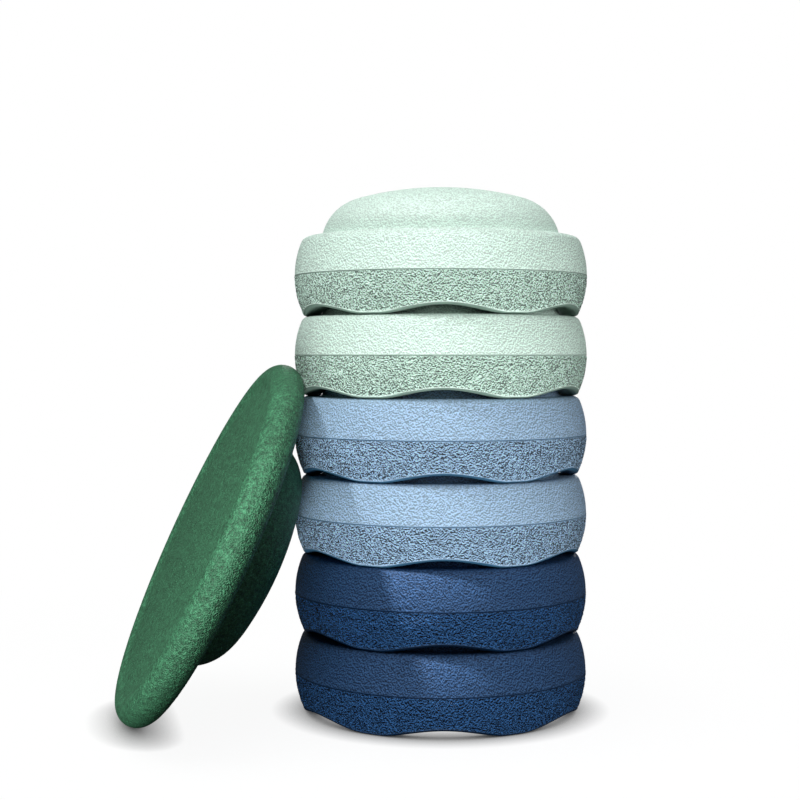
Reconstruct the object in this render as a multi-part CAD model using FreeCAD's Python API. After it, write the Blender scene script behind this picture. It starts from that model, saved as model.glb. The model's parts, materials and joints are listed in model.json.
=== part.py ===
import FreeCAD, Part
import math
import os

from FreeCAD import Placement, Rotation, Vector

# A play set of six alike stepping stones and one round balance board.
# The stones are nested into a tower on the floor, and the board leans on the tower.
# Lengths are millimetres, angles are degrees. The floor is the plane Z = 0.
# The photographed side faces -Y, +Z is up, and the board leans on the tower's -X side.
# The origin is on the floor, under the middle of the whole set.

# Stone: side wall
stone_radius = 137.8            # at the parting line, where the wall is widest
wall_height = 74.1              # foot to shoulder, which is also the rise of each layer
parting_height = 38.2           # height of the widest line above the foot
wall_bulge_radius = 83.0        # curvature of the barrel wall, up and down
foot_round = 4.0                # outer lower edge
shoulder_round = 7.5            # outer upper edge

# Stone: dome to stand on, which the next stone nests over
shoulder_width = 25.5           # from the widest line in to where the dome's side would stand upright
stone_dome_height = 46.5
crown_radius = 300.0            # curvature of the top of the dome
dome_edge_radius = 44.0         # curvature of the dome's shoulder
dome_root_round = 1.5           # hollow round between dome and shoulder

# Stone: hollow under the dome
nest_clearance = 1.7            # between the upright dome side and the foot around it
foot_inner_round = 2.5
wall_thickness = 22.0           # of the dome, all over

# Stone: wavy foot with finger gaps between its lobes
lobe_count = 6
arch_height = 8.0
pad_flat = 0.5                  # how much each lobe's tip is cut flat
wave_points_per_lobe = 12

# Tower
stone_count = 6

# Balance board
board_radius = 178.2
rim_round = 16.0                # the rim is a half round of this radius
dish_depth = 3.0                # how far the standing face lies below the rim
board_dome_height = 50.2
board_dome_root_round = 6.0
board_lean = 64.9               # between the board and the floor
board_bearing = 12.8            # how far the board stands round the tower, from -X towards -Y
lean_gap = 0.3                  # between the rim and the stone that it leans on

# Shared
dome_radius = stone_radius - shoulder_width     # the board's dome is as wide as a stone's
overrun = 10.0                  # how far a cutting body runs past what it cuts


def polar(radius, angle, height):
    """A point on a ring around the Z axis; the angle is in radians."""
    return Vector(radius * math.cos(angle), radius * math.sin(angle), height)


def bearing_point(centre, radius, towards):
    """The point of a circle in the XZ plane that lies in a direction."""
    reach = Vector(towards.x - centre.x, 0, towards.z - centre.z)
    reach.normalize()
    return centre + reach * radius


def arc(start, middle, end):
    return Part.Arc(start, middle, end).toShape()


def line(start, end):
    return Part.LineSegment(start, end).toShape()


def arc_about(centre, radius, start, end):
    """The short arc of a circle in the XZ plane between two of its points."""
    middle = bearing_point(centre, radius, (start + end) * 0.5)
    return arc(start, middle, end)


def revolve(edges):
    """A closed outline in the XZ plane, turned about the Z axis into one solid."""
    face = Part.Face(Part.Wire(edges))
    solid = face.revolve(Vector(0, 0, 0), Vector(0, 0, 1), 360)
    return solid if solid.ShapeType == "Solid" else solid.Solids[0]


def circle_meeting(centre, radius, height):
    """The outer point of a circle in the XZ plane at a height."""
    rise = height - centre.z
    return Vector(centre.x + math.sqrt(radius ** 2 - rise ** 2), 0, height)


class Dome:
    """Section of a dome on a flat base: a crown arc that meets an edge arc smoothly."""

    def __init__(self, base, height, root_round):
        crown_centre_height = base + height - crown_radius
        inward = dome_radius - dome_edge_radius
        rise = math.sqrt((crown_radius - dome_edge_radius) ** 2 - inward ** 2)
        self.top = Vector(0, 0, base + height)
        self.crown_centre = Vector(0, 0, crown_centre_height)
        self.edge_centre = Vector(inward, 0, crown_centre_height + rise)
        self.shift = bearing_point(self.crown_centre, crown_radius, self.edge_centre)
        reach = dome_edge_radius + root_round
        drop = base + root_round - self.edge_centre.z
        self.root_centre = Vector(inward + math.sqrt(reach ** 2 - drop ** 2), 0, base + root_round)
        self.side_foot = bearing_point(self.edge_centre, dome_edge_radius, self.root_centre)
        self.base_foot = Vector(self.root_centre.x, 0, base)
        self.root_round = root_round

    def edges(self):
        """From the base, up the side and over to the Z axis."""
        return [
            arc_about(self.root_centre, self.root_round, self.base_foot, self.side_foot),
            arc_about(self.edge_centre, dome_edge_radius, self.side_foot, self.shift),
            arc_about(self.crown_centre, crown_radius, self.shift, self.top),
        ]


def tangent_from(point, centre, radius):
    """Where a line from an outer low point touches the far right of a circle."""
    away = Vector(centre.x - point.x, 0, centre.z - point.z)
    distance = away.Length
    heading = math.atan2(away.z, away.x)
    half = math.asin(radius / distance)
    reach = math.sqrt(distance ** 2 - radius ** 2)
    turned = heading - half
    return Vector(point.x + reach * math.cos(turned), 0, point.z + reach * math.sin(turned))


def make_stone():
    """One stone with its foot on Z = 0 and its axis on the Z axis."""
    wall_centre = Vector(stone_radius - wall_bulge_radius, 0, parting_height)
    dome = Dome(wall_height, stone_dome_height, dome_root_round)

    # The outer wall, from the foot to the shoulder
    foot_centre = circle_meeting(wall_centre, wall_bulge_radius - foot_round, foot_round)
    foot_flat = Vector(foot_centre.x, 0, 0)
    wall_low = bearing_point(wall_centre, wall_bulge_radius, foot_centre)
    shoulder_centre = circle_meeting(
        wall_centre, wall_bulge_radius - shoulder_round, wall_height - shoulder_round
    )
    wall_high = bearing_point(wall_centre, wall_bulge_radius, shoulder_centre)
    shoulder_flat = Vector(shoulder_centre.x, 0, wall_height)

    # The hollow: its ceiling follows the dome at the wall thickness
    hollow_radius = dome_radius + nest_clearance
    inner_centre = Vector(hollow_radius + foot_inner_round, 0, foot_inner_round)
    inner_flat = Vector(inner_centre.x, 0, 0)
    ceiling_radius = crown_radius - wall_thickness
    corner_radius = dome_edge_radius - wall_thickness
    ceiling_top = Vector(0, 0, dome.top.z - wall_thickness)
    ceiling_shift = bearing_point(dome.crown_centre, ceiling_radius, dome.edge_centre)
    inner_low = Vector(hollow_radius, 0, foot_inner_round)
    corner_low = tangent_from(inner_low, dome.edge_centre, corner_radius)

    edges = [
        line(inner_flat, foot_flat),
        arc_about(foot_centre, foot_round, foot_flat, wall_low),
        arc_about(wall_centre, wall_bulge_radius, wall_low, wall_high),
        arc_about(shoulder_centre, shoulder_round, wall_high, shoulder_flat),
        line(shoulder_flat, dome.base_foot),
    ]
    edges += dome.edges()
    edges += [
        line(dome.top, ceiling_top),
        arc_about(dome.crown_centre, ceiling_radius, ceiling_top, ceiling_shift),
        arc_about(dome.edge_centre, corner_radius, ceiling_shift, corner_low),
        line(corner_low, inner_low),
        arc_about(inner_centre, foot_inner_round, inner_low, inner_flat),
    ]
    return revolve(edges).cut(foot_wave_cutter())


def wave_height(angle):
    """Height of the wavy foot, which has a finger gap at the front (-Y)."""
    swing = 0.5 + 0.5 * math.cos(lobe_count * (angle + math.pi / 2))
    return (arch_height + pad_flat) * swing - pad_flat


def wave_curve(radius):
    """The foot's wave on a ring, as a closed smooth curve."""
    count = lobe_count * wave_points_per_lobe
    angles = [2 * math.pi * step / count for step in range(count)]
    points = [polar(radius, angle, wave_height(angle)) for angle in angles]
    curve = Part.BSplineCurve()
    curve.interpolate(Points=points, PeriodicFlag=True)
    return curve.toShape()


def foot_wave_cutter():
    """A ring of material below the wave, which is cut from under the foot."""
    inner = wave_curve(dome_radius - overrun)
    outer = wave_curve(stone_radius + overrun)
    under_side = Part.makeRuledSurface(inner, outer)
    ring = under_side.extrude(Vector(0, 0, -(arch_height + overrun)))
    return ring if ring.ShapeType == "Solid" else ring.Solids[0]


def make_board():
    """The board lying dome down: its rim's middle plane is Z = 0, its face is up."""
    ring_radius = board_radius - rim_round
    lip_angle = math.acos(1 - dish_depth / (2 * rim_round))
    lip = Vector(
        ring_radius - rim_round * math.sin(lip_angle), 0, rim_round * math.cos(lip_angle)
    )
    dish_centre = Vector(2 * lip.x - ring_radius, 0, 2 * lip.z)
    dish_edge = Vector(dish_centre.x, 0, rim_round - dish_depth)
    dish_middle = Vector(0, 0, rim_round - dish_depth)
    under_edge = Vector(ring_radius, 0, -rim_round)
    outermost = Vector(board_radius, 0, 0)

    # The dome is drawn upwards from the underside and then mirrored to hang below
    dome = Dome(rim_round, board_dome_height, board_dome_root_round)
    dome_edges = [edge.mirror(Vector(0, 0, 0), Vector(0, 0, 1)) for edge in dome.edges()]
    dome_foot = Vector(dome.base_foot.x, 0, -rim_round)
    dome_tip = Vector(0, 0, -dome.top.z)

    edges = [
        line(dish_middle, dish_edge),
        arc_about(dish_centre, rim_round, dish_edge, lip),
        arc(lip, outermost, under_edge),
        line(under_edge, dome_foot),
    ]
    edges += dome_edges
    edges.append(line(dome_tip, dish_middle))
    return revolve(edges)


def leaning_reach(radial, below):
    """Distance towards the tower from the rim's lowest ring point to a board point.

    The point is given by its distance up the slope from the board's axis, and by
    how far it lies below the rim's middle plane, on the side of the tower.
    """
    slope = math.radians(board_lean)
    return (board_radius - rim_round + radial) * math.cos(slope) + below * math.sin(slope)


def leaning_height(radial, below):
    slope = math.radians(board_lean)
    up_slope = (board_radius - rim_round + radial) * math.sin(slope)
    return rim_round + up_slope - below * math.cos(slope)


def board_stand_off():
    """Distance on the floor from the tower's axis to the rim's lowest ring point.

    Each round of the board's section that can face the tower is set against each
    stone's barrel wall, and the one that needs most room decides.
    """
    slope = math.radians(board_lean)
    dome = Dome(rim_round, board_dome_height, board_dome_root_round)
    square_to_board = slope - math.pi / 2
    crown_half = math.atan2(dome.edge_centre.x, dome.edge_centre.z - dome.crown_centre.z)
    top_ring = board_radius - rim_round
    rounds = [
        (dome.crown_centre.x, dome.crown_centre.z, crown_radius, -crown_half, crown_half),
        (dome.edge_centre.x, dome.edge_centre.z, dome_edge_radius, crown_half, math.pi / 2),
        (top_ring, 0, rim_round, 0, math.pi / 2),
    ]
    low_limit = -math.asin(parting_height / wall_bulge_radius)
    high_limit = math.asin((wall_height - parting_height) / wall_bulge_radius)
    needed = []
    for radial, below, radius, first, last in rounds:
        for layer in range(stone_count):
            wall_middle = layer * wall_height + parting_height
            rise = wall_middle - leaning_height(radial, below)
            span = radius + wall_bulge_radius + lean_gap
            if abs(rise) >= span:
                continue
            towards_wall = math.asin(rise / span)
            on_board = first <= towards_wall - square_to_board <= last
            on_wall = low_limit <= -towards_wall <= high_limit
            if on_board and on_wall:
                across = math.sqrt(span ** 2 - rise ** 2)
                room = leaning_reach(radial, below) + across
                needed.append(room + stone_radius - wall_bulge_radius)
    return max(needed)


def board_placement(tower):
    """Where the leaning board stands, for a tower axis at a point on the floor."""
    slope = math.radians(board_lean)
    bearing = math.radians(board_bearing)
    outwards = Vector(-math.cos(bearing), -math.sin(bearing), 0)
    up_slope = outwards * -math.cos(slope) + Vector(0, 0, math.sin(slope))
    facing = outwards * math.sin(slope) + Vector(0, 0, math.cos(slope))
    across = facing.cross(up_slope)
    low_ring_point = tower + outwards * board_stand_off() + Vector(0, 0, rim_round)
    centre = low_ring_point + up_slope * (board_radius - rim_round)
    turn = Rotation(up_slope, across, facing, "ZXY")
    return Placement(centre, turn), low_ring_point, across, facing


def rim_half_width(facing_share):
    """Half the width of the leaning rim along an axis that its face leans towards."""
    ring_radius = board_radius - rim_round
    return ring_radius * math.sqrt(1 - facing_share ** 2) + rim_round


def tower_axis():
    """The tower's place that puts the origin under the middle of the set's outline."""
    placement, _, _, facing = board_placement(Vector(0, 0, 0))
    centre = placement.Base
    half_x = rim_half_width(facing.x)
    half_y = rim_half_width(facing.y)
    low_x = min(-stone_radius, centre.x - half_x)
    high_x = max(stone_radius, centre.x + half_x)
    low_y = min(-stone_radius, centre.y - half_y)
    high_y = max(stone_radius, centre.y + half_y)
    return Vector(-(low_x + high_x) / 2, -(low_y + high_y) / 2, 0)


def main():
    os.makedirs("parts", exist_ok=True)
    tower = tower_axis()

    stone = make_stone()
    for layer in range(stone_count):
        name = "stone_{}".format(layer + 1)
        placed = stone.copy()
        placed.translate(tower + Vector(0, 0, layer * wall_height))
        placed.exportStep("parts/{}.step".format(name))
        print(name, "volume", round(placed.Volume), "valid", placed.isValid())

    board = make_board()
    placement, hinge_point, hinge_axis, _ = board_placement(tower)
    board.Placement = placement
    board.exportStep("parts/balance_board.step")
    print("balance_board volume", round(board.Volume), "valid", board.isValid())

    print("tower axis", tower)
    print("board's rim ring touches down at", hinge_point, "turning about", hinge_axis)


main()
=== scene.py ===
"""Foam stepping stones nested into a tower, with a round balance board leaning on it.

Every piece is one moulding of expanded polypropylene bead foam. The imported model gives
each piece's place, and this script gives it the moulded surface: the coarse lower band,
the fine upper wall, the parting line between them and the rounded edge of the wavy foot.
Lengths are metres unless a name ends in mm.
"""

import json
import logging
import math
from dataclasses import dataclass
from enum import Enum

import bmesh
import bpy
from mathutils import Matrix, Vector, noise


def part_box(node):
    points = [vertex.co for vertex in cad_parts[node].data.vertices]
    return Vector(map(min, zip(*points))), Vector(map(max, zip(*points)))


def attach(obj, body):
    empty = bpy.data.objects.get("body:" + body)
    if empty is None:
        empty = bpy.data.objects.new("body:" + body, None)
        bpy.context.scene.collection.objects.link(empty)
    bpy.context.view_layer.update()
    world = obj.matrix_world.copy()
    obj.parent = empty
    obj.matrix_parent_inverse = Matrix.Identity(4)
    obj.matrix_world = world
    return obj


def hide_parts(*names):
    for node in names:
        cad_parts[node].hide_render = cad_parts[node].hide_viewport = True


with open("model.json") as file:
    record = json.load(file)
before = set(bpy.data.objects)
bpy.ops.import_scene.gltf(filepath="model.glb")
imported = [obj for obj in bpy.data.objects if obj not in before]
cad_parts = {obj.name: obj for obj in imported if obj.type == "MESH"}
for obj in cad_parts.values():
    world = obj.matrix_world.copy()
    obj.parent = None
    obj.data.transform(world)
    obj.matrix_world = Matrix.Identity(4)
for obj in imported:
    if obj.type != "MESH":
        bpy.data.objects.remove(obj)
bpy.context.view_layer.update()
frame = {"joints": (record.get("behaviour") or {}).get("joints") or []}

MM = 0.001
LOG = logging.getLogger("stepping_stones")
STONE_COUNT = 6
RELIEF = "relief"      # the point attribute that says how strong the mould's grain is
WHITE = "#ffffff"
Section = list[tuple[float, float]]     # pairs of distance from the axis and height

# The hammered grain is three layers of noise: broad dents, finer ones and thin ridges. Each
# layer is scaled and shifted against the first, and adds its own share to the height.
BROAD_SHARE, FINE_SHARE, RIDGE_SHARE = 0.55, 0.3, 0.25
FINE_SCALE, FINE_SHIFT = 1.9, Vector((7.3, 1.1, 4.7))
RIDGE_SCALE, RIDGE_SHIFT = 1.3, Vector((2.9, 8.3, 5.1))
RIDGE_MIDDLE = 0.6      # the ridge layer's usual value, taken off so it moves no surface


class Palette(Enum):
    """The foam's colours as sRGB hex values, one for each material slot of the record."""

    deep_blue_foam = "#375277"
    light_blue_foam = "#a1bdd7"
    mint_foam = "#d4e8de"
    green_foam = "#467b5c"


def linear(hex_colour: str) -> tuple[float, float, float, float]:
    """Turns an sRGB hex value into a linear colour.

    Args:
        hex_colour: six hex digits after a hash sign.

    Returns:
        Red, green, blue and an alpha of one.
    """
    shares = [int(hex_colour[start:start + 2], 16) / 255 for start in (1, 3, 5)]
    red, green, blue = (
        share / 12.92 if share <= 0.04045 else ((share + 0.055) / 1.055) ** 2.4
        for share in shares
    )
    return red, green, blue, 1.0


def add_node(
    tree: bpy.types.NodeTree, kind: str, settings: dict | None = None, inputs: dict | None = None
) -> bpy.types.Node:
    """Adds a shader node with its settings and links.

    Args:
        tree: the material's or world's node tree.
        kind: the node's type without the leading ShaderNode.
        settings: attributes of the node.
        inputs: socket name or number to a value, or to the socket that feeds it.

    Returns:
        The new node.
    """
    made = tree.nodes.new("ShaderNode" + kind)
    for name, value in (settings or {}).items():
        setattr(made, name, value)
    for name, value in (inputs or {}).items():
        if isinstance(value, bpy.types.NodeSocket):
            tree.links.new(value, made.inputs[name])
        else:
            made.inputs[name].default_value = value
    return made


def smooth_step(low: float, high: float, value: float) -> float:
    """Goes from 0 at low to 1 at high, level at both ends.

    Args:
        low: where the step starts.
        high: where it ends, above or below low.
        value: the place to read.

    Returns:
        A share from 0 to 1.
    """
    share = min(1.0, max(0.0, (value - low) / (high - low)))
    return share * share * (3 - 2 * share)


def arc_points(
    centre: tuple[float, float], radius: float, start: float, end: float, count: int
) -> Section:
    """Points along an arc of a section, without its first point.

    Args:
        centre: distance from the axis and height of the arc's centre.
        radius: the arc's radius.
        start: first angle in radians, 0 pointing away from the axis and a quarter turn up.
        end: last angle.
        count: number of points.

    Returns:
        The points as pairs of distance from the axis and height.
    """
    angles = [start + (end - start) * step / count for step in range(1, count + 1)]
    return [
        (centre[0] + radius * math.cos(angle), centre[1] + radius * math.sin(angle))
        for angle in angles
    ]


def line_points(start: tuple[float, float], end: tuple[float, float], count: int) -> Section:
    """Evenly spaced points along a straight stretch of a section, without its first point.

    Args:
        start: where the stretch starts.
        end: where it ends.
        count: number of points.

    Returns:
        The points as pairs of distance from the axis and height.
    """
    shares = [step / count for step in range(1, count + 1)]
    return [
        (start[0] + (end[0] - start[0]) * share, start[1] + (end[1] - start[1]) * share)
        for share in shares
    ]


def spin_section(section: Section, steps: int, wedges: int = 6) -> bmesh.types.BMesh:
    """Turns an open section whose two ends lie on the axis into a closed surface.

    Args:
        section: pairs of distance from the axis and height.
        steps: number of steps round the axis, a multiple of wedges.
        wedges: equal sectors; one is spun and the others are copies of it.

    Returns:
        The surface, with closed poles and outward normals.
    """
    bm = bmesh.new()
    verts = [bm.verts.new((across, 0.0, height)) for across, height in section]
    edges = [bm.edges.new(pair) for pair in zip(verts, verts[1:])]
    bmesh.ops.spin(
        bm, geom=verts + edges, cent=(0, 0, 0), axis=(0, 0, 1), dvec=(0, 0, 0),
        angle=math.tau / wedges, steps=steps // wedges, use_merge=False, use_duplicate=False,
    )
    wedge = bm.verts[:] + bm.edges[:] + bm.faces[:]
    for turn in range(1, wedges):
        copied = bmesh.ops.duplicate(bm, geom=wedge)["geom"]
        corners = [item for item in copied if isinstance(item, bmesh.types.BMVert)]
        matrix = Matrix.Rotation(turn * math.tau / wedges, 3, "Z")
        bmesh.ops.rotate(bm, verts=corners, cent=(0, 0, 0), matrix=matrix)
    bmesh.ops.remove_doubles(bm, verts=bm.verts, dist=1e-6)
    bmesh.ops.recalc_face_normals(bm, faces=bm.faces)
    return bm


def foam_relief(place: Vector, grain_mm: float) -> float:
    """Depth share of the coarse moulded grain, like hammered metal, at a place.

    Args:
        place: a point on the surface, in metres.
        grain_mm: distance from one ridge to the next.

    Returns:
        0 on a ridge and up to 1 in a pit.
    """
    at = place / (grain_mm * MM)
    broad = noise.noise(at)
    fine = noise.noise(at * FINE_SCALE + FINE_SHIFT)
    ridge = 1 - abs(noise.noise(at * RIDGE_SCALE + RIDGE_SHIFT)) * 2 - RIDGE_MIDDLE
    height = 0.5 + BROAD_SHARE * broad + FINE_SHARE * fine + RIDGE_SHARE * ridge
    return 1 - min(1.0, max(0.0, height))


def finish_mesh(bm: bmesh.types.BMesh, name: str, relief: list[float]) -> bpy.types.Mesh:
    """Writes a bmesh to a smooth-shaded mesh with the coarse grain's share on its points.

    Args:
        bm: the finished surface, freed here.
        name: the mesh's name.
        relief: the share of coarse grain at each vertex.

    Returns:
        The mesh.
    """
    for face in bm.faces:
        face.smooth = True
    mesh = bpy.data.meshes.new(name)
    bm.to_mesh(mesh)
    bm.free()
    shares = mesh.attributes.new(RELIEF, "FLOAT", "POINT")
    shares.data.foreach_set("value", relief)
    return mesh


@dataclass(frozen=True)
class BeadFoam:
    """Moulded expanded polypropylene bead foam: dyed beads that steam welds in a mould.

    The eye sees a matte, slightly waxy plastic, a faint mosaic of beads a few millimetres
    across that took the dye unevenly, and the mould's grain: hammered on the lower band,
    orange peel on the upper wall and nearly smooth on the dome. Shade is painted into the
    grain's pits and onto the smooth parts without grain, and highlights onto its upper flanks.
    """

    colour: Palette
    painted_pit_shade: float                 # painted shade: how much darker the grain's pits are painted
    painted_flank_highlight: float               # painted highlight: how much lighter the upper flanks of its ridges are painted
    bead_mm: float = 3.4            # a bead's width once it has filled the mould
    bead_tone: float = 0.05         # how far the beads' lightness varies
    bead_scatter: float = 0.9       # how unevenly the beads lie, 1 for no order at all
    pore_mm: float = 1.5            # pores where beads meet, drawn larger than real to show
    pore_tone: float = 0.05         # how far the pores' lightness varies
    pore_span: tuple[float, float] = (0.3, 0.7)     # the noise values that are their extremes
    smooth_painted_shade: float = 0.72         # painted shade: how much darker the smooth parts without grain are painted
    smooth_shade_saturation: float = 0.8         # how much more saturated that painted shade is
    smooth_shade_end: float = 0.15          # the grain's share from which on there is no such painted shade
    grain_saturation: float = 0.12  # how much more saturated the coarse grain looks
    grain_mm: float = 1.4           # lattice of the mould's grain, ridges twice as far apart
    grain_width: float = 1.15       # how much wider than high the grain's ridges are
    grain_rough: float = 0.4        # how much its finer layer adds
    grain_span: tuple[float, float] = (0.37, 0.63)  # heights that get the full painted pit shade and the full painted flank highlight
    grain_depth_mm: float = 6.0     # the grain's full swing; most of it stays near the middle
    flank_mm: float = 1.2           # from a ridge's crest up to the foot of its upper flank
    painted_flank_share: float = 0.85       # how far the painted highlight lifts a ridge's upper flank over its lower one
    flank_lean_mm: float = 0.7      # how far the painted flank highlights lean to the middle at the sides
    left_mm: float = -53.0          # the tower's left side
    right_mm: float = 222.0         # and its right side
    roughness: float = 0.5
    ior: float = 1.49
    specular: float = 0.4

    def grain(
        self, tree: bpy.types.NodeTree, place: bpy.types.NodeSocket
    ) -> bpy.types.NodeSocket:
        """Adds the mould's grain.

        Args:
            tree: the material's node tree.
            place: where the grain is read.

        Returns:
            The socket of the grain's height, 0 to 1.
        """
        flattened = add_node(
            tree, "VectorMath", {"operation": "MULTIPLY"},
            {0: place, 1: (1.0, 1.0, self.grain_width)},
        )
        return add_node(
            tree, "TexNoise", {},
            {"Vector": flattened.outputs["Vector"], "Scale": 1 / (self.grain_mm * MM),
             "Detail": 1.0, "Roughness": self.grain_rough},
        ).outputs["Fac"]

    def dye(
        self, tree: bpy.types.NodeTree, place: bpy.types.NodeSocket
    ) -> bpy.types.NodeSocket:
        """Adds the uneven dye of the beads and of the pores between them.

        Args:
            tree: the material's node tree.
            place: the Object coordinates.

        Returns:
            The socket of the dye's lightness, near 1.
        """
        beads = add_node(
            tree, "TexVoronoi", {"feature": "F1"},
            {"Vector": place, "Scale": 1 / (self.bead_mm * MM), "Randomness": self.bead_scatter},
        )
        bead_tone = add_node(
            tree, "MapRange", {},
            {"Value": beads.outputs["Color"], 3: 1 - self.bead_tone, 4: 1 + self.bead_tone},
        )
        pores = add_node(
            tree, "TexNoise", {},
            {"Vector": place, "Scale": 1 / (self.pore_mm * MM), "Detail": 1.0},
        )
        pore_tone = add_node(
            tree, "MapRange", {},
            {"Value": pores.outputs["Fac"], 1: self.pore_span[0], 2: self.pore_span[1],
             3: 1 - self.pore_tone, 4: 1 + self.pore_tone},
        )
        return add_node(
            tree, "Math", {"operation": "MULTIPLY"},
            {0: bead_tone.outputs[0], 1: pore_tone.outputs[0]},
        ).outputs[0]

    def dye_and_painted_light(
        self, tree: bpy.types.NodeTree, place: bpy.types.NodeSocket,
        grain: bpy.types.NodeSocket, relief: bpy.types.NodeSocket,
    ) -> bpy.types.NodeSocket:
        """Adds the dye with painted shade in the grain's pits and painted light on its upper
        flanks.

        A flank is painted lighter where the grain is high here and low a little further up. The
        painted flanks turn towards the tower's middle line at its two sides.

        Args:
            tree: the material's node tree.
            place: the Object coordinates.
            grain: the grain's height.
            relief: how strong the grain is.

        Returns:
            The socket that the colour's value is multiplied by.
        """
        across = add_node(
            tree, "MapRange", {},
            {"Value": add_node(tree, "SeparateXYZ", {}, {0: place}).outputs["X"],
             1: self.left_mm * MM, 2: self.right_mm * MM,
             3: self.flank_lean_mm * MM, 4: -self.flank_lean_mm * MM},
        )
        up = add_node(
            tree, "CombineXYZ", {}, {"X": across.outputs[0], "Z": self.flank_mm * MM}
        )
        above = add_node(
            tree, "VectorMath", {"operation": "ADD"}, {0: place, 1: up.outputs["Vector"]}
        )
        foot = add_node(
            tree, "Math", {"operation": "MULTIPLY_ADD"},
            {0: self.grain(tree, above.outputs["Vector"]), 1: -self.painted_flank_share,
             2: self.painted_flank_share / 2},
        )
        flank = add_node(tree, "Math", {"operation": "ADD"}, {0: grain, 1: foot.outputs[0]})
        # Painted shade in the grain's pits and painted highlight on the upper flanks of its
        # ridges.
        painted_relief_light = add_node(
            tree, "MapRange", {},
            {"Value": flank.outputs[0], 1: self.grain_span[0], 2: self.grain_span[1],
             3: -self.painted_pit_shade, 4: self.painted_flank_highlight},
        )
        painted_pit_shade = add_node(
            tree, "Math", {"operation": "MULTIPLY_ADD"}, {0: painted_relief_light.outputs[0], 1: relief, 2: 1.0}
        )
        return add_node(
            tree, "Math", {"operation": "MULTIPLY"},
            {0: self.dye(tree, place), 1: painted_pit_shade.outputs[0]},
        ).outputs[0]

    def make(self) -> bpy.types.Material:
        """Builds the material.

        Returns:
            The material, which reads Object coordinates and the relief attribute.
        """
        material = bpy.data.materials.new("moulded_polypropylene_bead_foam_" + self.colour.name)
        material.use_nodes = True
        tree = material.node_tree
        tree.nodes.clear()
        place = add_node(tree, "TexCoord").outputs["Object"]
        relief = add_node(tree, "Attribute", {"attribute_name": RELIEF}).outputs["Fac"]
        grain = self.grain(tree, place)
        # Painted shade on the smooth parts without grain: the foot's rounded edge and underside,
        # the parting groove and the lower hollow are painted darker and more saturated.
        smooth_shade = add_node(
            tree, "MapRange", {}, {"Value": relief, 1: 0.0, 2: self.smooth_shade_end, 3: 1.0, 4: 0.0}
        ).outputs[0]
        depth = add_node(
            tree, "Math", {"operation": "MULTIPLY_ADD"},
            {0: relief, 1: self.grain_saturation, 2: 1.0},
        )
        depth = add_node(
            tree, "Math", {"operation": "MULTIPLY_ADD"},
            {0: smooth_shade, 1: self.smooth_shade_saturation, 2: depth.outputs[0]},
        )
        dark = add_node(
            tree, "Math", {"operation": "MULTIPLY_ADD"}, {0: smooth_shade, 1: -self.smooth_painted_shade, 2: 1.0}
        )
        value = add_node(
            tree, "Math", {"operation": "MULTIPLY"},
            {0: dark.outputs[0], 1: self.dye_and_painted_light(tree, place, grain, relief)},
        )
        shade = add_node(
            tree, "HueSaturation", {},
            {"Saturation": depth.outputs[0], "Value": value.outputs[0],
             "Color": linear(self.colour.value)},
        )
        bump = add_node(
            tree, "Bump", {},
            {"Strength": relief, "Distance": self.grain_depth_mm * MM, "Height": grain},
        )
        shader = add_node(
            tree, "BsdfPrincipled", {},
            {"Base Color": shade.outputs["Color"], "Roughness": self.roughness,
             "IOR": self.ior, "Specular IOR Level": self.specular,
             "Normal": bump.outputs["Normal"]},
        )
        add_node(tree, "OutputMaterial", {}, {"Surface": shader.outputs["BSDF"]})
        return material


# The four colours take the same grain differently: the darker a stone, the stronger the painted
# shade in its pits and the painted highlight on its ridges. The board's face is seen at a low
# angle, so its beads are drawn larger than real to show at all, and its shallower grain has no
# painted flank highlight.
FOAMS = (
    BeadFoam(Palette.deep_blue_foam, painted_pit_shade=1.0, painted_flank_highlight=4.2, specular=0.25),
    BeadFoam(Palette.light_blue_foam, painted_pit_shade=0.95, painted_flank_highlight=1.2),
    BeadFoam(Palette.mint_foam, painted_pit_shade=0.8, painted_flank_highlight=0.75, grain_saturation=0.5),
    BeadFoam(
        Palette.green_foam,
        painted_pit_shade=0.65,
        painted_flank_highlight=0.4,
        bead_mm=5.5,
        bead_tone=0.2,
        pore_mm=3.6,
        pore_tone=0.35,
        grain_depth_mm=3.6,
        painted_flank_share=0.0,
    ),
)


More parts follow.
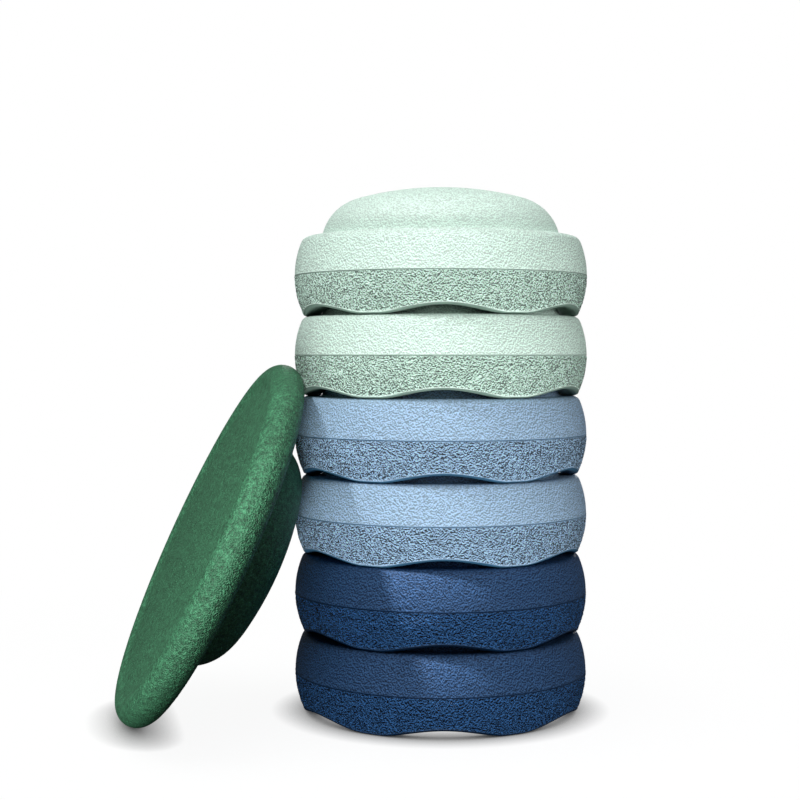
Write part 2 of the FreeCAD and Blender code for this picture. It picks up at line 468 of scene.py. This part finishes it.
@dataclass(frozen=True)
class Dome:
    """The section of a foam dome: a flat crown arc over a rounder edge arc."""

    radius: float = 112.3 * MM
    crown_radius: float = 300.0 * MM
    edge_radius: float = 44.0 * MM

    def inward(self) -> float:
        """Returns the distance from the axis to the edge arc's centre."""
        return self.radius - self.edge_radius

    def crown_half(self) -> float:
        """Returns the angle from the axis to where the crown arc meets the edge arc."""
        return math.asin(self.inward() / (self.crown_radius - self.edge_radius))

    def crown_centre(self, top: float) -> tuple[float, float]:
        """Finds the centre of the crown arc.

        Args:
            top: height of the dome's top.

        Returns:
            Distance from the axis and height.
        """
        return 0.0, top - self.crown_radius

    def edge_centre(self, top: float) -> tuple[float, float]:
        """Finds the centre of the edge arc.

        Args:
            top: height of the dome's top.

        Returns:
            Distance from the axis and height.
        """
        rise = (self.crown_radius - self.edge_radius) * math.cos(self.crown_half())
        return self.inward(), top - self.crown_radius + rise

    def down_to(
        self, base: float, top: float, root: float, counts: tuple[int, int, int]
    ) -> Section:
        """The section from the top down to a flat base.

        Args:
            base: height of the flat that the dome stands on.
            top: height of its top.
            root: radius of the hollow round between dome and flat.
            counts: points on the crown arc, the edge arc and the root round.

        Returns:
            The points, starting on the axis.
        """
        quarter = math.pi / 2
        edge = self.edge_centre(top)
        reach = self.edge_radius + root
        root_angle = math.asin((base + root - edge[1]) / reach)
        root_centre = (edge[0] + reach * math.cos(root_angle), base + root)
        points = [(0.0, top)]
        points += arc_points(
            self.crown_centre(top), self.crown_radius, quarter, quarter - self.crown_half(),
            counts[0],
        )
        points += arc_points(
            edge, self.edge_radius, quarter - self.crown_half(), root_angle, counts[1]
        )
        points += arc_points(
            root_centre, root, root_angle + math.pi, 3 * quarter, counts[2]
        )
        return points


@dataclass
class SteppingStone:
    """The mould that all six stones come out of."""

    radius: float = 137.8 * MM
    rise: float = 74.1 * MM
    parting: float = 38.2 * MM
    bulge: float = 83.0 * MM
    foot_round: float = 4.0 * MM
    shoulder_round: float = 7.5 * MM
    dome: Dome = Dome()
    dome_height: float = 46.5 * MM
    dome_root: float = 1.5 * MM
    nest_clearance: float = 1.7 * MM
    foot_inner_round: float = 2.5 * MM
    wall: float = 22.0 * MM
    lobes: int = 6
    arch: float = 8.0 * MM
    pad_flat: float = 0.5 * MM
    wave_reach: float = 26.0 * MM       # height over which the wall's rows follow the wave
    edge_round: float = 2.6 * MM        # the smooth rounded edge of the wavy foot
    seam_width: float = 0.7 * MM
    seam_depth: float = 1.0 * MM
    seam_soft: float = 0.1 * MM         # how far the groove's corners are rounded off
    seam_lip: float = 0.3 * MM          # the upper wall's round ends this far above the groove
    band_lip: float = 0.4 * MM          # the lower band's rows start this far below it
    band_set_back: float = 0.04 * MM    # keeps the lower band inside the wall of the CAD model
    upper_set_back: float = 0.45 * MM   # the upper wall lies this far behind the lower band
    smooth_foot: float = 2.7 * MM       # the grain stops this far above the foot's edge
    foot_fade: float = 0.5 * MM         # and fades in over this far on either side of there
    band_fade: tuple[float, float] = (-0.3 * MM, 0.4 * MM)  # below the groove
    wall_fade: tuple[float, float] = (0.1 * MM, 0.9 * MM)   # above it
    shoulder_fade: tuple[float, float] = (1.0 * MM, 9.0 * MM)   # below the shoulder
    coarse_grain_mm: float = 1.95
    coarse_depth: float = 1.1 * MM
    fine_grain_mm: float = 2.4
    fine_depth: float = 0.2 * MM
    dome_grain: float = 0.28            # share of the lower band's grain
    wall_grain: float = 0.42            # the upper wall's share of it
    still_share: float = 0.8            # the wave moves nothing within this share of the dome
    dome_rows: tuple[int, int, int] = (10, 12, 2)   # points on its crown, edge and root round
    shelf_rows: int = 3                 # points on the flat round the dome
    shoulder_rows: int = 6
    upper_rows: int = 28
    band_rows: int = 35
    hollow_rows: tuple[int, int, int, int] = (3, 6, 4, 6)   # on its foot, side, edge and crown
    steps: int = 810                    # points round the axis

    def wall_reach(self, height: float) -> float:
        """The outer wall's distance from the axis at a height, without grain.

        Args:
            height: height above the foot.

        Returns:
            The distance, round the foot's edge at the bottom.
        """
        centre = self.radius - self.bulge
        inner = self.bulge - self.foot_round
        round_centre = centre + math.sqrt(inner ** 2 - (self.foot_round - self.parting) ** 2)
        tangent = self.parting + (self.foot_round - self.parting) * self.bulge / inner
        if height >= tangent:
            return centre + math.sqrt(self.bulge ** 2 - (height - self.parting) ** 2)
        drop = min(self.foot_round, self.foot_round - height)
        return round_centre + math.sqrt(self.foot_round ** 2 - drop ** 2)

    def hollow_reach(self, height: float) -> float:
        """The hollow's distance from the axis at a height near the foot.

        Args:
            height: height above the foot.

        Returns:
            The distance, round the foot's inner edge at the bottom.
        """
        mouth = self.dome.radius + self.nest_clearance
        if height < self.foot_inner_round:
            drop = self.foot_inner_round - max(0.0, height)
            inset = math.sqrt(self.foot_inner_round ** 2 - drop ** 2)
            return mouth + self.foot_inner_round - inset
        corner = self.corner_touch()
        share = (height - self.foot_inner_round) / (corner[1] - self.foot_inner_round)
        return mouth + (corner[0] - mouth) * share

    def corner_touch(self) -> tuple[float, float]:
        """Finds where the hollow's sloping side touches the round under the dome's edge.

        Returns:
            Distance from the axis and height.
        """
        centre = self.dome.edge_centre(self.rise + self.dome_height)
        round_radius = self.dome.edge_radius - self.wall
        away = (
            centre[0] - self.dome.radius - self.nest_clearance, centre[1] - self.foot_inner_round
        )
        distance = math.hypot(*away)
        heading = math.atan2(away[1], away[0]) - math.asin(round_radius / distance)
        reach = math.sqrt(distance ** 2 - round_radius ** 2)
        return (
            self.dome.radius + self.nest_clearance + reach * math.cos(heading),
            self.foot_inner_round + reach * math.sin(heading),
        )

    def wave(self, angle: float) -> float:
        """Gives the wavy foot's height, which has an arch at the front.

        Args:
            angle: radians round the axis.

        Returns:
            The foot's height above the pads.
        """
        swing = 0.5 + 0.5 * math.cos(self.lobes * (angle + math.pi / 2))
        return max(0.0, (self.arch + self.pad_flat) * swing - self.pad_flat)

    def outer_section(self) -> Section:
        """The section from the dome's top over the shoulder and down the wall.

        Returns:
            The points, with the parting line's groove between the two bands.
        """
        top = self.rise + self.dome_height
        points = self.dome.down_to(self.rise, top, self.dome_root, self.dome_rows)
        wall_centre = self.radius - self.bulge
        inner = self.bulge - self.shoulder_round
        round_height = self.rise - self.shoulder_round
        lift = math.asin((round_height - self.parting) / inner)
        set_back = self.upper_set_back
        round_centre = (wall_centre - set_back + inner * math.cos(lift), round_height)
        points += line_points(points[-1], (round_centre[0], self.rise), self.shelf_rows)
        points += arc_points(
            round_centre, self.shoulder_round, math.pi / 2, lift, self.shoulder_rows
        )
        seam_rise = math.asin(self.seam_lip / self.bulge)
        points += arc_points(
            (wall_centre - set_back, self.parting), self.bulge, lift, seam_rise, self.upper_rows
        )
        seam_floor = self.radius - self.seam_depth
        seam_foot = self.parting - self.seam_width
        points.append((self.radius - set_back, self.parting + self.seam_soft / 2))
        points.append((seam_floor, self.parting - self.seam_soft))
        points.append((seam_floor, seam_foot + self.seam_soft))
        points.append((self.radius - self.seam_soft, seam_foot))
        start = seam_foot - self.band_lip
        for row in range(self.band_rows + 1):
            height = start + (self.edge_round - start) * row / self.band_rows
            points.append((self.wall_reach(height) - self.band_set_back, height))
        return points

    def section(self) -> Section:
        """Draws the whole section, from the dome's top round to the hollow's ceiling.

        Returns:
            The points, with both ends on the axis.
        """
        points = self.outer_section()
        for turn in (math.pi / 6, math.pi / 3):
            height = self.edge_round * (1 - math.sin(turn))
            inset = self.edge_round * (1 - math.cos(turn))
            points.append((self.wall_reach(height) - inset, height))
        points.append((self.wall_reach(0.0) - self.edge_round, 0.0))
        mouth = self.dome.radius + self.nest_clearance
        inner_centre = (mouth + self.foot_inner_round, self.foot_inner_round)
        points.append((inner_centre[0], 0.0))
        on_foot, on_side, on_edge, on_crown = self.hollow_rows
        points += arc_points(
            inner_centre, self.foot_inner_round, -math.pi / 2, -math.pi, on_foot
        )
        corner = self.corner_touch()
        points += line_points(points[-1], corner, on_side)
        top = self.rise + self.dome_height
        edge = self.dome.edge_centre(top)
        corner_angle = math.atan2(corner[1] - edge[1], corner[0] - edge[0])
        crown_angle = math.pi / 2 - self.dome.crown_half()
        points += arc_points(
            edge, self.dome.edge_radius - self.wall, corner_angle, crown_angle, on_edge
        )
        points += arc_points(
            self.dome.crown_centre(top), self.dome.crown_radius - self.wall, crown_angle,
            math.pi / 2, on_crown,
        )
        return points

    def follow_wave(self, place: Vector) -> Vector:
        """Moves a point of the plain spun stone to where the wavy foot puts it.

        Args:
            place: a point of the spun stone.

        Returns:
            The moved point.
        """
        across = math.hypot(place.x, place.y)
        under_dome = place.z > self.wave_reach or across < self.dome.radius * self.still_share
        if under_dome:
            return place.copy()
        angle = math.atan2(place.y, place.x)
        lift = self.wave(angle)
        height = lift + place.z * (self.wave_reach - lift) / self.wave_reach
        outside = across > (self.wall_reach(0.0) + self.hollow_reach(0.0)) / 2
        reach = self.wall_reach if outside else self.hollow_reach
        across += reach(height) - reach(place.z)
        return Vector((across * math.cos(angle), across * math.sin(angle), height))

    def grain_at(self, place: Vector) -> tuple[float, float]:
        """The grain's depth at a point of the wavy stone.

        Args:
            place: a point of the surface.

        Returns:
            How far the point moves in towards the axis, and the coarse grain's share.
        """
        across = math.hypot(place.x, place.y)
        inside = across < self.wall_reach(0.0) - self.edge_round / 2
        if place.z > self.rise - MM:
            return 0.0, self.dome_grain
        if inside:
            return 0.0, 0.0
        foot = self.wave(math.atan2(place.y, place.x))
        above_foot = smooth_step(
            self.smooth_foot - self.foot_fade, self.smooth_foot + self.foot_fade, place.z - foot
        )
        below_seam = smooth_step(*self.band_fade, self.parting - self.seam_width - place.z)
        coarse = above_foot * below_seam
        above_seam = smooth_step(*self.wall_fade, place.z - self.parting)
        below_shoulder = smooth_step(*self.shoulder_fade, self.rise - place.z)
        fine = self.dome_grain + (self.wall_grain - self.dome_grain) * below_shoulder
        depth = 0.0
        if coarse > 0:
            depth += coarse * self.coarse_depth * foam_relief(place, self.coarse_grain_mm)
        if above_seam > 0:
            depth += above_seam * self.fine_depth * foam_relief(place, self.fine_grain_mm)
        return depth, coarse + above_seam * fine

    def mould(self) -> bpy.types.Mesh:
        """Builds the stone with its foot on the floor and its axis on the Z axis.

        Returns:
            The mesh that each stone's own mesh is a copy of.
        """
        bm = spin_section(self.section(), self.steps)
        relief = []
        for vert in bm.verts:
            vert.co = self.follow_wave(vert.co)
            depth, coarse = self.grain_at(vert.co)
            across = math.hypot(vert.co.x, vert.co.y)
            if depth > 0:
                inward = 1 - depth / across
                vert.co.x *= inward
                vert.co.y *= inward
            relief.append(coarse)
        return finish_mesh(bm, "stone_mould", relief)


@dataclass
class StoneTower:
    """Six stones from one mould, nested on one axis."""

    stone: SteppingStone
    count: int = STONE_COUNT
    turns: tuple[int, ...] = (0, 2, 5, 1, 4, 3)     # sixths of a turn, so no two look alike
    colours: tuple[Palette, ...] = (
        Palette.deep_blue_foam, Palette.light_blue_foam, Palette.mint_foam,
    )

    def axis(self) -> Vector:
        """Finds the tower's axis from the lowest stone of the frame.

        Returns:
            The axis' point on the floor.
        """
        low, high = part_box("stone_1")
        return Vector(((low.x + high.x) / 2, (low.y + high.y) / 2, 0.0))

    def build(self, finishes: dict[Palette, bpy.types.Material]) -> None:
        """Makes the stones and seats each on its body.

        Args:
            finishes: the foam in each colour.
        """
        mould = self.stone.mould()
        axis = self.axis()
        for layer in range(self.count):
            node = f"stone_{layer + 1}"
            colour = self.colours[layer * len(self.colours) // self.count]
            mesh = mould.copy()
            mesh.name = node + "_foam"
            turn = Matrix.Rotation(self.turns[layer] * math.tau / self.stone.lobes, 4, "Z")
            seat = axis + Vector((0, 0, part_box(node)[0].z))
            mesh.transform(Matrix.Translation(seat) @ turn)
            place_piece(mesh, node + "_foam", node, finishes[colour])
        bpy.data.meshes.remove(mould)


@dataclass
class BalanceBoard:
    """The round board: a shallow dished face, a half-round rim and a dome below."""

    radius: float = 178.2 * MM
    rim: float = 16.0 * MM
    dish: float = 3.0 * MM
    dome: Dome = Dome()
    dome_height: float = 50.2 * MM
    dome_root: float = 6.0 * MM
    lean: float = math.radians(64.9)
    coarse_grain_mm: float = 1.9
    coarse_depth: float = 0.4 * MM
    fine_grain_mm: float = 2.4
    fine_depth: float = 0.12 * MM
    face_grain: float = 0.6             # share of the stones' coarse grain
    rim_grain: float = 0.8              # the rim's share of it
    rim_fade: tuple[float, float] = (2.0 * MM, -5.0 * MM)   # from the face's side to below
    dome_fade: float = 8.0 * MM         # the coarse grain ends over this far round the dome
    face_rows: int = 18                 # points from the face's middle to its dish's round
    lip_rows: int = 4
    rim_rows: int = 34
    back_rows: int = 8
    dome_rows: tuple[int, int, int] = (10, 12, 3)   # points on its crown, edge and root round
    steps: int = 960                    # points round the axis

    def section(self) -> Section:
        """Draws the section from the face's middle round the rim to the dome's tip, face up.

        Returns:
            The points, with both ends on the axis.
        """
        ring = self.radius - self.rim
        lip_angle = math.acos(1 - self.dish / (2 * self.rim))
        lip = (ring - self.rim * math.sin(lip_angle), self.rim * math.cos(lip_angle))
        dish_centre = (2 * lip[0] - ring, 2 * lip[1])
        floor = self.rim - self.dish
        points = [(0.0, floor)]
        points += line_points(points[0], (dish_centre[0], floor), self.face_rows)
        quarter = math.pi / 2
        points += arc_points(
            dish_centre, self.rim, -quarter, -quarter + lip_angle, self.lip_rows
        )
        points += arc_points(
            (ring, 0.0), self.rim, quarter + lip_angle, -quarter, self.rim_rows
        )
        dome = self.dome.down_to(
            self.rim, self.rim + self.dome_height, self.dome_root, self.dome_rows
        )
        hanging = [(across, -height) for across, height in reversed(dome)]
        points += line_points(points[-1], hanging[0], self.back_rows)
        return points + hanging[1:]

    def placement(self) -> Matrix:
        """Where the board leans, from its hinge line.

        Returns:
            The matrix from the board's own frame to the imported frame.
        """
        joint = next(j for j in frame["joints"] if j["child"] == "balance_board")
        across = -Vector(joint["axis"]).normalized()
        outwards = Vector((0, 0, 1)).cross(across).normalized()
        up_slope = -outwards * math.cos(self.lean) + Vector((0, 0, math.sin(self.lean)))
        facing = outwards * math.sin(self.lean) + Vector((0, 0, math.cos(self.lean)))
        centre = Vector(joint["pos_m"]) + up_slope * (self.radius - self.rim)
        turn = Matrix((up_slope, facing.cross(up_slope), facing)).transposed()
        return Matrix.Translation(centre) @ turn.to_4x4()

    def build(self, finish: bpy.types.Material) -> None:
        """Makes the board and seats it on its body.

        Args:
            finish: the board's foam.
        """
        bm = spin_section(self.section(), self.steps)
        bm.normal_update()
        relief = []
        moves = []
        for vert in bm.verts:
            across = math.hypot(vert.co.x, vert.co.y)
            on_dome = smooth_step(self.dome.radius + self.dome_fade, self.dome.radius, across)
            coarse = smooth_step(*self.rim_fade, vert.co.z) * (1 - on_dome)
            depth = coarse * self.coarse_depth * foam_relief(vert.co, self.coarse_grain_mm)
            depth += (1 - coarse) * self.fine_depth * foam_relief(vert.co, self.fine_grain_mm)
            moves.append(vert.normal * depth)
            relief.append(self.face_grain + (self.rim_grain - self.face_grain) * coarse)
        for vert, move in zip(bm.verts, moves):
            vert.co -= move
        mesh = finish_mesh(bm, "balance_board_foam", relief)
        mesh.transform(self.placement())
        place_piece(mesh, "balance_board_foam", "balance_board", finish)


def place_piece(
    mesh: bpy.types.Mesh, name: str, node: str, finish: bpy.types.Material
) -> None:
    """Puts a finished mesh in the scene in its node's place.

    Args:
        mesh: the piece's mesh, already where it stands.
        name: the piece's name.
        node: the node that it stands for, which is also its body's name.
        finish: its material.
    """
    piece = bpy.data.objects.new(name, mesh)
    bpy.context.scene.collection.objects.link(piece)
    mesh.materials.append(finish)
    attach(piece, node)
    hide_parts(node)
    LOG.info("%s: %d faces", name, len(mesh.polygons))


def piece_group(name: str, pieces: list[str]) -> bpy.types.Collection:
    """Gathers pieces in a collection that light linking can name.

    Args:
        name: the collection's name.
        pieces: the pieces' names.

    Returns:
        The collection, which isn't linked to the scene.
    """
    group = bpy.data.collections.new(name)
    for piece in pieces:
        group.objects.link(bpy.data.objects[piece])
    return group


@dataclass(frozen=True)
class Softbox:
    """A square soft lamp that looks at the object."""

    name: str
    azimuth: float      # degrees round from the camera's side, negative to the left
    elevation: float    # degrees above the floor
    distance: float     # metres from the point that it looks at
    size: float         # side of the lamp in metres
    level: float        # brightness of a white surface that faces the lamp

    def make(self, aim: Vector) -> bpy.types.Object:
        """Adds the lamp.

        Args:
            aim: the point that the lamp looks at.

        Returns:
            The lamp.
        """
        turn, lift = math.radians(self.azimuth), math.radians(self.elevation)
        towards = Vector((
            math.sin(turn) * math.cos(lift), -math.cos(turn) * math.cos(lift), math.sin(lift)
        ))
        data = bpy.data.lights.new(self.name, "AREA")
        data.shape = "SQUARE"
        data.size = self.size
        data.energy = self.level * math.pi ** 2 * self.distance ** 2
        lamp = bpy.data.objects.new(self.name, data)
        bpy.context.scene.collection.objects.link(lamp)
        lamp.location = aim + towards * self.distance
        lamp.rotation_euler = (-towards).to_track_quat("-Z", "Y").to_euler()
        return lamp


@dataclass(frozen=True)
class ColourLight:
    """The lamps on the stones of one colour, and how brightly each of them shines."""

    colour: str
    stones: tuple[int, int]
    distance: float     # differs for each colour: lamps in one place would lose light
    low: float          # from below, as a white table throws light back
    high: float         # from above the camera
    key: float          # from high on the left
    right: float        # from low on the right

    def softboxes(self) -> tuple[Softbox, ...]:
        """Lists the colour's lamps.

        Returns:
            The four lamps, from below, above, the left and the right.
        """
        return (
            Softbox(
                "floor_bounce_on_" + self.colour, azimuth=-8, elevation=-35,
                distance=self.distance, size=0.8, level=self.low,
            ),
            Softbox(
                "front_softbox_on_" + self.colour, azimuth=-8, elevation=50,
                distance=self.distance, size=0.8, level=self.high,
            ),
            Softbox(
                "left_key_on_" + self.colour, azimuth=-72, elevation=60,
                distance=2 * self.distance, size=0.22, level=self.key,
            ),
            Softbox(
                "right_softbox_on_" + self.colour, azimuth=60, elevation=15,
                distance=self.distance, size=0.6, level=self.right,
            ),
        )


# The photograph's brightness was set for each colour of stone by itself, so each has its lamps.
COLOUR_LIGHTS = (
    ColourLight("mint", (5, 6), distance=1.5, low=1.16, high=0.31, key=0.5, right=0.32),
    ColourLight("light_blue", (3, 4), distance=1.6, low=0.84, high=0.32, key=0.42, right=0.2),
    ColourLight("deep_blue", (1, 2), distance=1.7, low=0.26, high=0.21, key=1.2, right=0.09),
)
BOARD_LIGHTS = (
    Softbox(
        "front_softbox_on_board", azimuth=-25, elevation=8, distance=1.5, size=0.6, level=0.55
    ),
    Softbox(
        "high_softbox_on_board", azimuth=-15, elevation=40, distance=1.5, size=0.5, level=0.5
    ),
    Softbox(
        "floor_bounce_on_board", azimuth=-40, elevation=-15, distance=1.5, size=0.5, level=0.22
    ),
)
TOP_LIGHT = Softbox("top_softbox", azimuth=0, elevation=84, distance=1.6, size=0.9, level=0.18)
BACK_LIGHT = Softbox("back_softbox", azimuth=175, elevation=8, distance=1.8, size=0.8, level=0.3)


@dataclass
class Studio:
    """A white floor and backdrop, soft lamps and the camera."""

    focal_px: float = 1554.0
    frame_px: float = 800.0
    horizon_px: float = 355.0
    sensor_mm: float = 36.0
    eye_left: float = 38.2 * MM
    eye_back: float = 1470.0 * MM
    eye_height: float = 334.6 * MM
    aim_left: float = 0.05      # the lamps look at a point this far left of the tower's axis
    aim_height: float = 0.25
    floor_half: float = 12.0
    floor_paint: float = 0.3    # share of light that the floor throws back
    floor_glow: float = 0.93    # glow added near the object, dimmed by occlusion into a painted contact shadow
    ambient: float = 0.12
    shadow_reach: float = 0.03  # how far from a piece its contact shadow ends
    shadow_near: float = 0.45   # the floor's shadow shows in full within this distance
    shadow_far: float = 0.9     # and beyond this one the floor is the backdrop's white
    shadow_samples: int = 8

    def camera(self, tower: Vector) -> None:
        """Adds the camera at the photograph's place.

        Args:
            tower: the tower's axis on the floor.
        """
        data = bpy.data.cameras.new("camera")
        data.sensor_width = self.sensor_mm
        data.lens = data.sensor_width * self.focal_px / self.frame_px
        camera = bpy.data.objects.new("camera", data)
        bpy.context.scene.collection.objects.link(camera)
        camera.location = tower + Vector((-self.eye_left, -self.eye_back, self.eye_height))
        below = math.atan((self.frame_px / 2 - self.horizon_px) / self.focal_px)
        camera.rotation_euler = (math.pi / 2 - below, 0, 0)
        bpy.context.scene.camera = camera

    def lamps(self, tower: Vector) -> None:
        """Adds the lamps.

        Args:
            tower: the tower's axis on the floor.
        """
        aim = tower + Vector((-self.aim_left, 0, self.aim_height))
        board = ["balance_board_foam"]
        pieces = [f"stone_{layer + 1}_foam" for layer in range(STONE_COUNT)] + board
        TOP_LIGHT.make(aim)
        self.light_only(BACK_LIGHT.make(aim), pieces, pieces)
        for light in COLOUR_LIGHTS:
            lit = [f"stone_{number}_foam" for number in light.stones]
            for softbox in light.softboxes():
                self.light_only(softbox.make(aim), lit, pieces)
        for softbox in BOARD_LIGHTS:
            self.light_only(softbox.make(aim), board, pieces)

    def light_only(self, lamp: bpy.types.Object, lit: list[str], shading: list[str]) -> None:
        """Makes a lamp light only some pieces, and lets its light come through the floor.

        Args:
            lamp: the lamp.
            lit: the lit pieces.
            shading: the pieces that throw a shadow in its light.
        """
        linking = lamp.light_linking
        linking.receiver_collection = piece_group(lamp.name + "_lit", lit)
        linking.blocker_collection = piece_group(lamp.name + "_shading", shading)

    def world(self) -> None:
        """Lights the scene evenly, and shows white to the camera and to rays passing through
        surfaces.
        """
        world = bpy.data.worlds.new("studio")
        bpy.context.scene.world = world
        world.use_nodes = True
        tree = world.node_tree
        tree.nodes.clear()
        rays = add_node(tree, "LightPath")
        seen = add_node(
            tree, "Math", {"operation": "MAXIMUM"},
            {0: rays.outputs["Is Camera Ray"], 1: rays.outputs["Is Transmission Ray"]},
        )
        level = add_node(
            tree, "MapRange", {}, {"Value": seen.outputs[0], 3: self.ambient, 4: 1.0}
        )
        light = add_node(
            tree, "Background", {},
            {"Color": linear(WHITE), "Strength": level.outputs[0]},
        )
        add_node(tree, "OutputWorld", {}, {"Surface": light.outputs[0]})

    def floor(self) -> None:
        """Adds the floor, which keeps the object's shadow, partly real and partly a painted
        contact shadow, and otherwise shows white.
        """
        bm = bmesh.new()
        bmesh.ops.create_grid(bm, x_segments=1, y_segments=1, size=self.floor_half)
        mesh = bpy.data.meshes.new("floor")
        bm.to_mesh(mesh)
        bm.free()
        floor = bpy.data.objects.new("floor", mesh)
        bpy.context.scene.collection.objects.link(floor)
        material = bpy.data.materials.new("white_painted_studio_floor")
        material.use_nodes = True
        tree = material.node_tree
        tree.nodes.clear()
        rays = add_node(tree, "LightPath")
        place = add_node(tree, "TexCoord").outputs["Object"]
        away = add_node(tree, "VectorMath", {"operation": "LENGTH"}, {0: place})
        far = add_node(
            tree, "MapRange", {"interpolation_type": "SMOOTHSTEP"},
            {"Value": away.outputs["Value"], 1: self.shadow_near, 2: self.shadow_far},
        )
        grey = (self.floor_paint, self.floor_paint, self.floor_paint, 1)
        paint = add_node(tree, "BsdfDiffuse", {}, {"Color": grey})
        painted_contact_shadow = add_node(
            tree, "AmbientOcclusion", {"samples": self.shadow_samples},
            {"Distance": self.shadow_reach},
        )
        near = add_node(
            tree, "MapRange", {}, {"Value": painted_contact_shadow.outputs["AO"], 3: 0.0, 4: self.floor_glow}
        )
        near_glow = add_node(tree, "Emission", {}, {"Strength": near.outputs[0]})
        near_floor = add_node(
            tree, "AddShader", {}, {0: near_glow.outputs[0], 1: paint.outputs[0]}
        )
        glow = add_node(tree, "Emission", {}, {"Color": linear(WHITE), "Strength": 1.0})
        seen = add_node(
            tree, "MixShader", {},
            {0: far.outputs[0], 1: near_floor.outputs[0], 2: glow.outputs[0]},
        )
        mixed = add_node(
            tree, "MixShader", {},
            {0: rays.outputs["Is Camera Ray"], 1: paint.outputs[0], 2: seen.outputs[0]},
        )
        add_node(tree, "OutputMaterial", {}, {"Surface": mixed.outputs[0]})
        mesh.materials.append(material)


def main() -> None:
    """Builds the tower, the board and the studio."""
    logging.basicConfig(level=logging.INFO, format="%(name)s %(message)s")
    bpy.context.scene.view_settings.view_transform = "Standard"
    finishes = {foam.colour: foam.make() for foam in FOAMS}
    tower = StoneTower(SteppingStone())
    tower.build(finishes)
    BalanceBoard().build(finishes[Palette.green_foam])
    studio = Studio()
    studio.camera(tower.axis())
    studio.lamps(tower.axis())
    studio.world()
    studio.floor()


if __name__ == "__main__":
    main()
